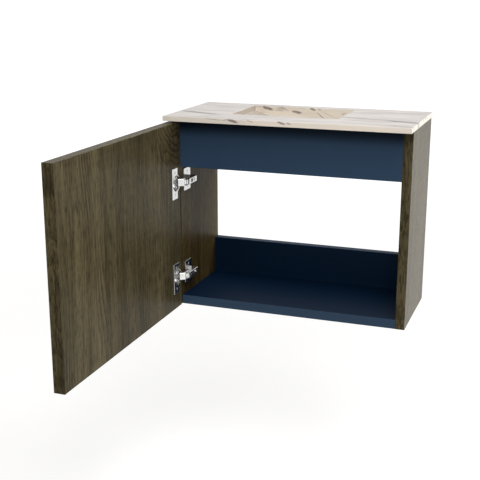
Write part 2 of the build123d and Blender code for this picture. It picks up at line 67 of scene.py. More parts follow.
def display_colour(red: int, green: int, blue: int) -> Colour:
    """A colour given as it looks on a screen, 0 to 255, turned into linear light.

    Args:
        red: The red display value.
        green: The green display value.
        blue: The blue display value.

    Returns:
        The three linear values.
    """
    shares = np.array([red, green, blue]) / 255.0
    curved = ((shares + CURVE_OFFSET) / (1.0 + CURVE_OFFSET)) ** CURVE_POWER
    linear = np.where(shares <= CURVE_KNEE, shares / CURVE_SLOPE, curved)
    return tuple(float(value) for value in linear)


@dataclass(frozen=True)
class Signal:
    """A number that varies over a surface, carried by one output socket of a node tree."""

    sheet: "NodeSheet"
    socket: bpy.types.NodeSocket

    def __add__(self, other: "Number") -> "Signal":
        """The sum of the two."""
        return self.sheet.math("ADD", self, other)

    def __sub__(self, other: "Number") -> "Signal":
        """This less the other."""
        return self.sheet.math("SUBTRACT", self, other)

    def __rsub__(self, other: "Number") -> "Signal":
        """The other less this."""
        return self.sheet.math("SUBTRACT", other, self)

    def __mul__(self, other: "Number") -> "Signal":
        """The product of the two."""
        return self.sheet.math("MULTIPLY", self, other)

    def __truediv__(self, other: "Number") -> "Signal":
        """This divided by the other."""
        return self.sheet.math("DIVIDE", self, other)

    def root(self) -> "Signal":
        """The square root."""
        return self.sheet.math("SQRT", self)

    def size(self) -> "Signal":
        """The absolute value."""
        return self.sheet.math("ABSOLUTE", self)

    def fraction(self) -> "Signal":
        """What is left past the whole number."""
        return self.sheet.math("FRACT", self)

    def greater_of(self, other: "Number") -> "Signal":
        """The greater of the two."""
        return self.sheet.math("MAXIMUM", self, other)

    def rise(self, start: float, end: float) -> "Signal":
        """A smooth step from 0 at start to 1 at end.

        Args:
            start: The value where the step leaves 0.
            end: The value where it reaches 1. It may be below start, and the step then falls.

        Returns:
            The stepped signal.
        """
        return self.remap(start, end, 0.0, 1.0, smooth=True)

    def remap(
        self, start: float, end: float, low: float, high: float, smooth: bool = False
    ) -> "Signal":
        """The signal carried from one range into another, and held at its ends.

        Args:
            start: The value that becomes low.
            end: The value that becomes high.
            low: The first end of the new range.
            high: The other end of the new range.
            smooth: Whether it eases in and out.

        Returns:
            The signal in its new range.
        """
        node = self.sheet.add("ShaderNodeMapRange")
        node.interpolation_type = "SMOOTHSTEP" if smooth else "LINEAR"
        self.sheet.feed(node.inputs["Value"], self)
        for socket, value in zip(("From Min", "From Max", "To Min", "To Max"),
                                 (start, end, low, high)):
            node.inputs[socket].default_value = value
        return Signal(self.sheet, node.outputs["Result"])


Number = Union[float, Signal]
Tint = Union[Colour, bpy.types.NodeSocket]


class NodeSheet:
    """A material with a Principled surface, and short calls for the nodes that shade it."""

    def __init__(self, name: str) -> None:
        """Makes the material, its output and its surface.

        Args:
            name: The material's name.
        """
        self.material = bpy.data.materials.new(name)
        self.material.use_nodes = True
        self.tree = self.material.node_tree
        self.tree.nodes.clear()
        output = self.add("ShaderNodeOutputMaterial")
        self.surface = self.add("ShaderNodeBsdfPrincipled")
        self.tree.links.new(self.surface.outputs["BSDF"], output.inputs["Surface"])

    def add(self, kind: str) -> bpy.types.Node:
        """A new node of that kind."""
        return self.tree.nodes.new(kind)

    def feed(self, socket: bpy.types.NodeSocket, value: Union[Number, Tint]) -> None:
        """Sets a socket to a fixed value, or links a signal or a socket into it.

        Args:
            socket: The input to fill.
            value: A number, a colour, a signal or an output socket.
        """
        if isinstance(value, Signal):
            self.tree.links.new(value.socket, socket)
        elif isinstance(value, bpy.types.NodeSocket):
            self.tree.links.new(value, socket)
        elif isinstance(value, tuple):
            socket.default_value = (*value, 1.0)
        else:
            socket.default_value = value

    def math(self, operation: str, *values: Number) -> Signal:
        """One Math node over the given values."""
        node = self.add("ShaderNodeMath")
        node.operation = operation
        for socket, value in zip(node.inputs, values):
            self.feed(socket, value)
        return Signal(self, node.outputs[0])

    def place(self) -> Tuple[Signal, Signal, Signal]:
        """The point's X, Y and Z in the row frame, in metres."""
        coordinates = self.add("ShaderNodeTexCoord")
        parts = self.add("ShaderNodeSeparateXYZ")
        self.tree.links.new(coordinates.outputs["Object"], parts.inputs[0])
        return tuple(Signal(self, socket) for socket in parts.outputs)

    def noise(
        self, point: Sequence[Number], detail: float = 2.0, roughness: float = 0.5
    ) -> Signal:
        """Smooth noise from 0 to 1, read at a point whose axes are already scaled.

        Args:
            point: The three coordinates, in noise cells.
            detail: How many finer layers are added.
            roughness: How strong the finer layers are.

        Returns:
            The noise.
        """
        vector = self.add("ShaderNodeCombineXYZ")
        for socket, value in zip(vector.inputs, point):
            self.feed(socket, value)
        node = self.add("ShaderNodeTexNoise")
        self.tree.links.new(vector.outputs[0], node.inputs["Vector"])
        node.inputs["Scale"].default_value = 1.0
        node.inputs["Detail"].default_value = detail
        node.inputs["Roughness"].default_value = roughness
        return Signal(self, node.outputs["Fac"])

    def mix(self, share: Number, first: Tint, second: Tint) -> bpy.types.NodeSocket:
        """A blend of two colours.

        Args:
            share: How much of the second colour shows, 0 to 1.
            first: The colour where share is 0.
            second: The colour where share is 1.

        Returns:
            The blended colour's socket.
        """
        node = self.add("ShaderNodeMix")
        node.data_type = "RGBA"
        self.feed(node.inputs["Factor"], share)
        self.feed(node.inputs[MIX_FIRST_INPUT], first)
        self.feed(node.inputs[MIX_SECOND_INPUT], second)
        return node.outputs[MIX_OUTPUT]

    def relief(self, height: Signal, depth: float, strength: float) -> None:
        """Raises the surface's shading by a height signal.

        Args:
            height: The signal, 0 low and 1 high.
            depth: The real height between them, in metres.
            strength: The share of the relief that is used.
        """
        node = self.add("ShaderNodeBump")
        node.inputs["Distance"].default_value = depth
        node.inputs["Strength"].default_value = strength
        self.feed(node.inputs["Height"], height)
        self.tree.links.new(node.outputs["Normal"], self.surface.inputs["Normal"])

    def set(self, **values: Union[Number, Tint]) -> None:
        """Fills the surface's inputs, named in lower case with underscores for spaces."""
        names = {socket.name.lower().replace(" ", "_"): socket for socket in self.surface.inputs}
        for name, value in values.items():
            self.feed(names[name], value)


class Grain(Enum):
    """The row axis that the grain of a board or strip follows."""

    UPRIGHT = (2, 1, 0)
    DEPTHWISE = (1, 0, 2)

    def sort(self, point: Sequence[Signal]) -> Tuple[Signal, Signal, Signal]:
        """The point's coordinates as along the grain, across it and into the board."""
        along, across, depth = self.value
        return point[along], point[across], point[depth]


@dataclass(frozen=True)
class Flame:
    """A spot of arched grain: its centre across and along the grain, and how far it reaches."""

    across: float
    along: float
    reach: float


@dataclass(frozen=True)
class OakDecor:
    """Dark olive-brown oak: growth rings cut flat, broad streaks and fine dark pores.

    Lengths are in metres, and the shares say how much of the dark colour each layer lays on.
    """

    name: str
    grain: Grain = Grain.UPRIGHT
    heart_across: float = 0.0
    heart_depth: float = 0.09
    taper: float = -0.16
    ring_pitch: float = 0.0075
    shift: float = 0.0
    # The next two set a band of painted shade across the grain: its centre and its strength.
    painted_shade_across: float = 0.0
    painted_shade: float = 0.0
    seam: Optional[float] = None
    flames: Tuple[Flame, ...] = ()
    light: Colour = display_colour(98, 88, 63)
    middle: Colour = display_colour(63, 56, 37)
    dark: Colour = display_colour(24, 19, 9)
    roughness: float = 0.38
    sheen: float = 0.05
    seam_change: float = 2.7
    sway_width: float = 0.045
    ripple_width: float = 0.006
    ring_share: float = 0.75
    arch_share: float = 0.7
    dash_share: float = 0.58
    hair_share: float = 0.45
    pore_share: float = 0.6
    seam_share: float = 0.7
    arch_squash: float = 0.75
    arch_pitch: float = 0.0105
    arch_waver: float = 3.4
    arch_core: float = 0.45
    relief_depth: float = 0.00012

    def arches(self, sheet: NodeSheet, along: Signal, fibre: Signal) -> Tuple[Signal, Signal]:
        """The arched grain: rings about each flame's centre, flattened along the grain.

        Args:
            sheet: The material's node tree.
            along: The coordinate along the grain.
            fibre: The coordinate across the grain, already wavering.

        Returns:
            The dark lines, and where they take the straight grain's place.
        """
        lines, place = fibre * 0.0, fibre * 0.0
        for flame in self.flames:
            beside, above = fibre - flame.across, (along - flame.along) * self.arch_squash
            radius = (beside * beside + above * above).root()
            waver = sheet.noise((fibre * 26.0, along * 20.0, flame.reach), 3.0)
            ring = (radius / self.arch_pitch + waver * self.arch_waver).fraction()
            here = radius.rise(flame.reach, flame.reach * self.arch_core)
            lines = lines.greater_of(ring.rise(0.45, 0.85) * ring.rise(1.0, 0.92) * here)
            place = place.greater_of(here)
        return lines, place

    def build(self) -> bpy.types.Material:
        """The material. The ring number is the distance from the trunk's heart over the pitch.

        Returns:
            The finished material.
        """
        sheet = NodeSheet(self.name)
        along, across, depth = self.grain.sort(sheet.place())
        seed = self.shift
        if self.seam is not None:
            seed = sheet.math("GREATER_THAN", across, self.seam) * self.seam_change + self.shift
        sway = sheet.noise((across * 5.0 + self.shift, along * 2.6, depth * 5.0), 2.0)
        ripple = sheet.noise((across * 22.0, along * 7.0 + self.shift, depth * 22.0), 2.0)
        fibre = across + (sway - 0.5) * self.sway_width + (ripple - 0.5) * self.ripple_width

        heart = along * self.taper + self.heart_depth
        beside = fibre - self.heart_across
        radius = (beside * beside + heart * heart).root()
        ring = (radius / self.ring_pitch).fraction()
        late_wood = ring.rise(0.35, 0.9) * ring.rise(1.0, 0.93)
        ring_strength = sheet.noise((across * 12.0, along * 3.0, self.shift), 1.0).rise(0.38, 0.72)

        bands = sheet.noise((fibre * 26.0 + seed, along * 1.3, depth * 9.0), 3.0, 0.55)
        streaks = sheet.noise((fibre * 150.0, along * 4.5 + seed, depth * 60.0), 3.0, 0.6)
        dashes = sheet.noise((fibre * 400.0 + seed, along * 38.0, depth * 200.0), 2.0, 0.6)
        hairs = sheet.noise((fibre * 620.0, along * 15.0, depth * 300.0), 3.0, 0.65)
        pores = sheet.noise((fibre * 1300.0 + seed, along * 70.0, depth * 600.0), 1.0)
        pore_marks = pores.rise(0.56, 0.7)
        # Painted shade: a dark band across the grain, full near its centre and gone 0.16 m from
        # it.
        painted_shade_band = (fibre - self.painted_shade_across).size().rise(0.16, 0.02) * self.painted_shade

        tone = bands.rise(0.36, 0.64) * 0.55 + streaks.rise(0.36, 0.66) * 0.45
        base = sheet.mix(tone, self.middle, self.light)
        deepened = sheet.mix(painted_shade_band, base, self.dark)
        figure = late_wood * ring_strength * self.ring_share
        if self.flames:
            arched, place = self.arches(sheet, along, fibre)
            figure = figure * (1.0 - place) + arched * self.arch_share
        ringed = sheet.mix(figure, deepened, self.dark)
        dashed = sheet.mix(dashes.rise(0.5, 0.64) * self.dash_share, ringed, self.dark)
        haired = sheet.mix(hairs.rise(0.46, 0.66) * self.hair_share, dashed, self.dark)
        shaded = sheet.mix(pore_marks * self.pore_share, haired, self.dark)
        if self.seam is not None:
            joint = (across - self.seam).size().rise(0.0011, 0.0004) * self.seam_share
            shaded = sheet.mix(joint, shaded, self.dark)
        sheet.set(
            base_color=shaded,
            roughness=pore_marks * 0.12 + streaks * 0.08 + (self.roughness - 0.04),
            specular_ior_level=self.sheen,
        )
        sheet.relief(hairs * 0.5 - pore_marks * 0.7 + streaks * 0.4, self.relief_depth, 0.6)
        return sheet.material


@dataclass(frozen=True)
class NavyMelamine:
    """A matt navy board face, with the faint orange-peel of a pressed melamine sheet.

    Where a start height is given, the face darkens from that height up to a second one, in metres:
    a painted shadow, as if cast by what sits on the board's top edge.
    """

    name: str
    colour: Colour = display_colour(46, 65, 87)
    roughness: float = 0.5
    sheen: float = 0.06
    # These four set a painted shadow: the height where it begins, the height where it is full, its
    # strength and its colour.
    painted_shadow_above: Optional[float] = None
    painted_shadow_full: float = 0.042
    painted_shadow_share: float = 0.85
    painted_shadow_colour: Colour = (0.0, 0.002, 0.006)
    mottle_share: float = 0.88
    relief_depth: float = 0.00003

    def build(self) -> bpy.types.Material:
        """The material, with a slow mottle in its tone and a fine one in its relief."""
        sheet = NodeSheet(self.name)
        x, y, z = sheet.place()
        mottle = sheet.noise((x * 14.0, y * 14.0, z * 14.0), 2.0)
        peel = sheet.noise((x * 900.0, y * 900.0, z * 900.0), 2.0)
        darker = tuple(value * self.mottle_share for value in self.colour)
        tone = sheet.mix(mottle, darker, self.colour)
        # Painted shadow: the tone darkens towards the board's upper edge, as under the slab.
        if self.painted_shadow_above is not None:
            painted_shadow = z.rise(self.painted_shadow_above, self.painted_shadow_full) * self.painted_shadow_share
            tone = sheet.mix(painted_shadow, tone, self.painted_shadow_colour)
        sheet.set(
            base_color=tone,
            roughness=peel * 0.10 + (self.roughness - 0.05),
            specular_ior_level=self.sheen,
        )
        sheet.relief(peel, self.relief_depth, 0.5)
        return sheet.material


@dataclass(frozen=True)
class Fleck:
    """A dark leaf-shaped mark in the marble: an ellipsoid turned in the X-Z plane."""

    centre: Triple
    half: Triple
    turn: float = 0.0
    strength: float = 1.0


@dataclass(frozen=True)
class Vein:
    """A long grey vein in the slab: a line from one point to another in the X-Y plane."""

    start: Tuple[float, float]
    end: Tuple[float, float]
    half_width: float
    strength: float = 1.0


BASIN_GROUND = display_colour(228, 218, 204)
BASIN_CLOUD = display_colour(212, 200, 184)
# The ramp's two colours are darker than the slab's: painted shade for the inside of the basin.
RAMP_PAINTED_SHADE_GROUND = display_colour(180, 171, 160)
RAMP_PAINTED_SHADE_CLOUD = display_colour(162, 151, 137)


@dataclass(frozen=True)
class Marble:
    """Pale marble with soft clouds along X, long grey veins and dark leaf-shaped flecks.

    The mouth is a box in which the basin's warmer stone shows. Its left face, short of left_face,
    takes the ramp's darker colour as painted shade, and the slab's front and end faces, in front
    of front_face and past end_face, take a lighter cream as painted light, all in metres.
    """

    name: str
    ground: Colour = display_colour(203, 196, 189)
    cloud: Colour = display_colour(176, 168, 163)
    vein: Colour = display_colour(92, 86, 88)
    fleck: Colour = display_colour(118, 102, 96)
    # A lighter cream for the slab's front and end faces: painted light.
    painted_light_edge: Colour = display_colour(224, 213, 199)
    flecks: Tuple[Fleck, ...] = ()
    veins: Tuple[Vein, ...] = ()
    speckle: float = 0.0
    mouth: Optional[Tuple[Triple, Triple]] = None
    left_face: float = -0.1295
    front_face: float = -0.2496
    end_face: float = 0.2521
    cloud_share: float = 0.8
    hair_share: float = 0.45
    mark_share: float = 0.9
    vein_waver: float = 0.010
    fray_width: float = 0.9
    relief_depth: float = 0.00003

    def fleck_mask(self, point: Sequence[Signal], fray: Signal) -> Signal:
        """Where flecks show. Each is 1 inside its ellipsoid and fades over its frayed rim.

        Args:
            point: The place on the surface.
            fray: Noise that roughens the rims.

        Returns:
            The mask, 0 to 1.
        """
        mask = fray * 0.0
        for mark in self.flecks:
            x, y, z = (axis - centre for axis, centre in zip(point, mark.centre))
            cosine, sine = math.cos(mark.turn), math.sin(mark.turn)
            along = (x * cosine + z * sine) / mark.half[0]
            across = (z * cosine - x * sine) / mark.half[2]
            through = y / mark.half[1]
            reach = (along * along + across * across + through * through).root()
            inside = (reach + (fray - 0.5) * self.fray_width).rise(1.1, 0.6)
            mask = mask.greater_of(inside * mark.strength)
        return mask

    def vein_mask(self, sheet: NodeSheet, point: Sequence[Signal]) -> Signal:
        """Where the long veins show. Each thins towards its ends and wavers across its line.

        Args:
            sheet: The material's node tree.
            point: The place on the surface.

        Returns:
            The mask, 0 to 1.
        """
        x, y, z = point
        waver = (sheet.noise((x * 26.0, y * 40.0, z * 40.0), 3.0) - 0.5) * self.vein_waver
        mask = waver * 0.0
        for line in self.veins:
            run = np.subtract(line.end, line.start)
            length = float(np.hypot(*run))
            unit_x, unit_y = (float(value) for value in run / length)
            off_x, off_y = x - line.start[0], y - line.start[1]
            along = (off_x * unit_x + off_y * unit_y) / length
            across = (off_y * unit_x - off_x * unit_y + waver).size()
            window = along.rise(-0.08, 0.3) * along.rise(1.08, 0.75)
            core = (across / line.half_width).rise(1.0, 0.15)
            mask = mask.greater_of(core * window * line.strength)
        return mask

    def mouth_mask(self, sheet: NodeSheet, point: Sequence[Signal]) -> Signal:
        """1 inside the box of the basin's mouth and 0 outside it, from each axis's two ends.

        Args:
            sheet: The material's node tree.
            point: The place on the surface.

        Returns:
            The mask.
        """
        inside = point[0] * 0.0 + 1.0
        for axis, low, high in zip(point, *self.mouth):
            inside = inside * sheet.math("GREATER_THAN", axis, low)
            inside = inside * sheet.math("LESS_THAN", axis, high)
        return inside

    def build(self) -> bpy.types.Material:
        """The material: clouds, hair veins, long veins and flecks laid over the ground."""
        sheet = NodeSheet(self.name)
        point = sheet.place()
        x, y, z = point
        clouds = sheet.noise((x * 7.0, y * 34.0, z * 34.0), 4.0, 0.6)
        warp = (sheet.noise((x * 9.0, y * 14.0, z * 14.0), 3.0) - 0.5) * 0.9
        ridge = (sheet.noise((x * 5.0 + warp, y * 26.0 + warp, z * 26.0), 4.0, 0.55) - 0.5)
        hair_veins = ridge.size().rise(0.035, 0.0)
        gate = sheet.noise((x * 8.0, y * 11.0, z * 11.0 + 4.0), 1.0).rise(0.5, 0.7)
        fray = sheet.noise((x * 260.0, y * 260.0, z * 160.0), 3.0)
        grit = sheet.noise((x * 420.0, y * 420.0, z * 110.0), 2.0).rise(0.5, 0.66)

        cloudiness = clouds.rise(0.40, 0.68) * self.cloud_share
        clouded = sheet.mix(cloudiness, self.ground, self.cloud)
        if self.mouth is not None:
            inside = self.mouth_mask(sheet, point)
            warm = sheet.mix(cloudiness, BASIN_GROUND, BASIN_CLOUD)
            clouded = sheet.mix(inside, clouded, warm)
            # Painted shade: the mouth's left face takes the ramp's darker cloud colour.
            left = inside * sheet.math("LESS_THAN", x, self.left_face)
            clouded = sheet.mix(left, clouded, RAMP_PAINTED_SHADE_CLOUD)
            # Painted light: the slab's front and end faces take a lighter cream.
            front = sheet.math("LESS_THAN", y, self.front_face)
            end = sheet.math("GREATER_THAN", x, self.end_face)
            cut = sheet.mix(cloudiness * 0.5, self.painted_light_edge, self.ground)
            clouded = sheet.mix(front.greater_of(end), clouded, cut)
        haired = sheet.mix(hair_veins * gate * self.hair_share, clouded, self.vein)
        veined = sheet.mix(self.vein_mask(sheet, point) * self.mark_share, haired, self.vein)
        flecked = sheet.mix(self.fleck_mask(point, fray) * self.mark_share, veined, self.fleck)
        speckled = sheet.mix(grit * self.speckle, flecked, self.fleck)
        sheet.set(
            base_color=speckled,
            roughness=clouds * 0.08 + 0.30,
            ior=1.5,
        )
        sheet.relief(clouds - hair_veins * 0.4, self.relief_depth, 0.3)
        return sheet.material


@dataclass(frozen=True)
class PlatedMetal:
    """Plated steel: bright, with a slight unevenness in its gloss and faint pressing lines."""

    name: str
    colour: Colour
    roughness: float
    unevenness: float = 0.10
    dull_share: float = 0.86
    relief_depth: float = 0.00001

    def build(self) -> bpy.types.Material:
        """The material."""
        sheet = NodeSheet(self.name)
        x, y, z = sheet.place()
        haze = sheet.noise((x * 120.0, y * 120.0, z * 120.0), 3.0)
        scratches = sheet.noise((x * 1800.0, y * 260.0, z * 1800.0), 2.0)
        dull = tuple(value * self.dull_share for value in self.colour)
        sheet.set(
            base_color=sheet.mix(haze.rise(0.35, 0.8), self.colour, dull),
            metallic=1.0,
            roughness=haze * self.unevenness + scratches * 0.05 + self.roughness,
        )
        sheet.relief(scratches, self.relief_depth, 0.35)
        return sheet.material


@dataclass(frozen=True)
class BeechDowel:
    """Plain beech, turned along X, with short brown flecks."""

    name: str
    pale: Colour = display_colour(216, 182, 138)
    brown: Colour = display_colour(176, 132, 88)
    roughness: float = 0.62
    relief_depth: float = 0.00008

    def build(self) -> bpy.types.Material:
        """The material."""
        sheet = NodeSheet(self.name)
        x, y, z = sheet.place()
        grain = sheet.noise((x * 60.0, y * 700.0, z * 700.0), 3.0)
        sheet.set(base_color=sheet.mix(grain, self.pale, self.brown), roughness=self.roughness)
        sheet.relief(grain, self.relief_depth, 0.6)
        return sheet.material


def tube_mesh(name: str, rings: np.ndarray) -> bpy.types.Mesh:
    """A closed skin over rings of points, with each end gathered to its ring's middle.

    Args:
        name: The mesh's name.
        rings: The points, as an array of ring, place round it, and X, Y, Z, in metres.

    Returns:
        The mesh.
    """
    ring_count, round_count, _ = rings.shape
    poles = rings[[0, -1]].mean(axis=1)
    points = np.concatenate([rings.reshape(-1, 3), poles])
    step = np.arange(round_count)
    following = np.roll(step, -1)
    starts = np.arange(ring_count - 1)[:, None] * round_count
    quads = np.stack(
        [starts + step, starts + following, starts + round_count + following,
         starts + round_count + step], axis=-1,
    ).reshape(-1, 4)
    last = (ring_count - 1) * round_count
    first_pole, last_pole = len(points) - 2, len(points) - 1
    caps = [
        *zip(following, step, np.full(round_count, first_pole)),
        *zip(last + step, last + following, np.full(round_count, last_pole)),
    ]
    faces = [tuple(map(int, face)) for face in quads.tolist() + caps]
    mesh = bpy.data.meshes.new(name)
    mesh.from_pydata(points.tolist(), [], faces)
    mesh.update()
    return mesh


@dataclass(frozen=True)
class CrossScrew:
    """A screw that points along -X: a cross-recessed head, and a shank with a rolled thread.

    All sizes are in millimetres, measured from the middle of the head's outer face.
    """

    head_radius: float
    head_height: float
    rim_height: float
    shank_radius: float
    length: float
    thread_pitch: float
    thread_height: float
    recess_depth: float = 0.9
    recess_half_width: float = 0.42
    recess_reach: float = 0.62
    recess_slope: float = 0.22
    dome_height: float = 0.12
    head_shares: Tuple[float, ...] = (0.04, 0.12, 0.22, 0.32, 0.42, 0.52, 0.62, 0.72, 0.86, 1.0)
    tip_share: float = 0.22
    tip_radius: float = 0.08
    ridge_half_width: float = 0.28
    thread_start: float = 0.1
    rings_per_turn: int = 8
    round_count: int = 48

    def head_rows(self, angle: np.ndarray) -> List[np.ndarray]:
        """The rings of the head's outer face, from its middle to its rim.

        The face is a shallow dome less a cross: the cross is cut where either coordinate in the
        face is nearer to 0 than the recess's half width, and it rises to the face at its reach.

        Args:
            angle: The places round a ring.

        Returns:
            One array of points for each ring.
        """
        rows = []
        for share in self.head_shares:
            radius = self.head_radius * share
            side, rise = radius * np.cos(angle), radius * np.sin(angle)
            nearest = np.minimum(np.abs(side), np.abs(rise))
            cut = np.clip((self.recess_half_width - nearest) / self.recess_slope + 0.5, 0.0, 1.0)
            fade = np.clip((self.recess_reach - share) / self.recess_slope + 0.35, 0.0, 1.0)
            dome = self.dome_height * (1.0 - share**2)
            depth = dome - self.recess_depth * cut * fade
            rows.append(np.stack([depth, side, rise], axis=-1))
        return rows

    def shank_rows(self, angle: np.ndarray) -> List[np.ndarray]:
        """The rings from the head's rim down to the tip.

        The radius falls from the head to the shank, then is the shank's own plus a ridge whose
        height depends on the distance along the screw plus the angle, which winds it up.

        Args:
            angle: The places round a ring.

        Returns:
            One array of points for each ring.
        """
        rim = np.stack([np.full_like(angle, -self.rim_height),
                        self.head_radius * np.cos(angle), self.head_radius * np.sin(angle)], -1)
        neck = self.head_height
        turns = (self.length - neck) / self.thread_pitch
        steps = max(self.rings_per_turn, int(turns * self.rings_per_turn))
        rows = [rim]
        for share in np.linspace(0.0, 1.0, steps):
            down = neck + (self.length - neck) * share
            turn = np.mod(down / self.thread_pitch + angle / (2.0 * np.pi), 1.0)
            ridge = np.clip(1.0 - np.abs(turn - 0.5) / self.ridge_half_width, 0.0, 1.0)
            taper = min(1.0, (1.0 - share) / self.tip_share + self.tip_radius)
            start = min(1.0, share / self.thread_start)
            radius = (self.shank_radius - self.thread_height * (1.0 - ridge) * start) * taper
            rows.append(np.stack([np.full_like(angle, -down), radius * np.cos(angle),
                                  radius * np.sin(angle)], -1))
        return rows

    def rings(self, seat: Triple) -> np.ndarray:
        """All the screw's rings, in metres, with the middle of its face at seat."""
        angle = np.linspace(0.0, 2.0 * np.pi, self.round_count, endpoint=False)
        rows = self.head_rows(angle) + self.shank_rows(angle)
        return np.stack(rows) * MILLIMETRE + np.array(seat)


def join_meshes(name: str, parts: Sequence[bpy.types.Mesh]) -> bpy.types.Mesh:
    """One mesh that holds all the given ones.

    Args:
        name: The new mesh's name.
        parts: The meshes to gather. They are removed.

    Returns:
        The joined mesh.
    """
    points: List[Triple] = []
    faces: List[Tuple[int, ...]] = []
    for part in parts:
        offset = len(points)
        points += [tuple(vertex.co) for vertex in part.vertices]
        faces += [tuple(offset + index for index in face.vertices) for face in part.polygons]
        bpy.data.meshes.remove(part)
    mesh = bpy.data.meshes.new(name)
    mesh.from_pydata(points, [], faces)
    mesh.update()
    return mesh


def add_piece(
    name: str, mesh: bpy.types.Mesh, material: bpy.types.Material, body: str,
    replaced: Sequence[str],
) -> bpy.types.Object:
    """Puts a new piece into the scene on its body, in place of the CAD nodes it stands for.

    Args:
        name: The piece's name.
        mesh: Its mesh, in place in the row frame.
        material: Its finish.
        body: The body it moves with.
        replaced: The CAD nodes that it replaces.

    Returns:
        The piece's object.
    """
    piece = bpy.data.objects.new(name, mesh)
    bpy.context.scene.collection.objects.link(piece)
    mesh.materials.append(material)
    mesh.polygons.foreach_set("use_smooth", np.ones(len(mesh.polygons), dtype=bool))
    mesh.set_sharp_from_angle(angle=SHARP_EDGE)
    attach(piece, body)
    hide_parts(*replaced)
    log.info("made %s", name)
    return piece


def dress(node: str, material: bpy.types.Material) -> None:
    """Gives a CAD node its finish.

    Args:
        node: The node's name.
        material: The finish.
    """
    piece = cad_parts[node]
    if not piece.material_slots:
        piece.data.materials.append(material)
    for material_slot in piece.material_slots:
        material_slot.material = material
    log.info("dressed %s", node)


@dataclass
class Carcass:
    """The cabinet's boards, their edging strips and the dowels that join them."""

    # These boards inside the cabinet get a much darker navy, which is painted shade.
    shaded_nodes: Tuple[str, ...] = ("bottom_panel", "hanging_rail", "low_rail")
    edged: Tuple[str, ...] = ("front_rail", "bottom_panel", "low_rail")

    def dress(self) -> None:
        """Gives each side its own cut of oak, and the rails and the bottom their navy face, with
        painted shade: the front rail's darkens under the slab, and the inner boards' is much
        darker.
        """
        left = OakDecor("oak_left_side", heart_across=-0.42, heart_depth=0.05, taper=-0.07,
                        shift=3.7, seam=-0.107, light=display_colour(103, 87, 53),
                        middle=display_colour(67, 55, 30), dark=display_colour(25, 19, 7))
        right = OakDecor("oak_right_side", heart_across=0.24, heart_depth=0.05, taper=-0.06,
                         shift=11.2, sheen=0.17)
        strips = OakDecor("oak_side_strips", heart_across=-0.4, shift=5.3,
                          light=display_colour(90, 81, 58), middle=display_colour(57, 51, 34))
        dress("side_panel_left", left.build())
        dress("side_panel_right", right.build())
        strip_oak = strips.build()
        for side in ("left", "right"):
            dress(f"side_panel_{side}_edging", strip_oak)
        # The front rail gets the painted shadow under the slab, darkening towards its upper edge.
        dress("front_rail", NavyMelamine("navy_front", painted_shadow_above=0.012).build())
        # A much darker copy of the navy for the boards inside: painted shade.
        navy_painted_shade = NavyMelamine("navy_inside", display_colour(8, 28, 49)).build()
        for node in self.shaded_nodes:
            dress(node, navy_painted_shade)
        navy_strip = NavyMelamine("navy_strip", display_colour(50, 68, 88)).build()
        for node in self.edged:
            dress(f"{node}_edging", navy_strip)
        beech = BeechDowel("beech").build()
        for side in ("left", "right"):
            dress(f"dowels_{side}", beech)


